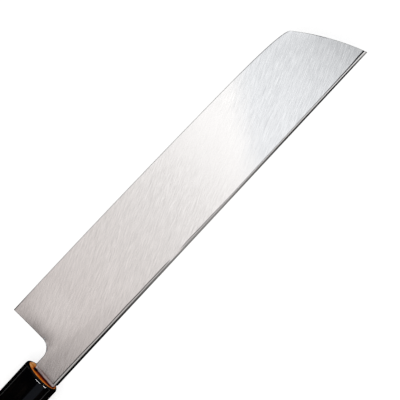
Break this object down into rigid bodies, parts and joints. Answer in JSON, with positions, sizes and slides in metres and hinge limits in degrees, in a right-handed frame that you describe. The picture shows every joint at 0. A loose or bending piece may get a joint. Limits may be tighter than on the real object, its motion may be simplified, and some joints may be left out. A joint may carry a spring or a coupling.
{
  "type": "kitchen knife",
  "caption": "Long single-bevel kitchen knife with a straight spine, a slanted end and a hollow-ground face, on a pale wooden handle with a black horn ferrule.",
  "frame": {"origin": "middle of the base of the whole knife as it lies with its hollow-ground face up", "axes": "+X along the spine toward the tip, +Y from the spine toward the cutting edge, +Z out of the hollow-ground face"},
  "size_m": [0.468, 0.063, 0.0267],
  "materials": {
    "satin_steel": "satin, with fine grinding marks that run slanting across the blade",
    "black_horn": "polished black buffalo horn",
    "magnolia_wood": "smooth bare wood, scorched dark orange round the tang"
  },
  "bodies": {
    "root": {"blade": "satin_steel", "ferrule": "black_horn", "handle": "magnolia_wood"}
  },
  "joints": []
}
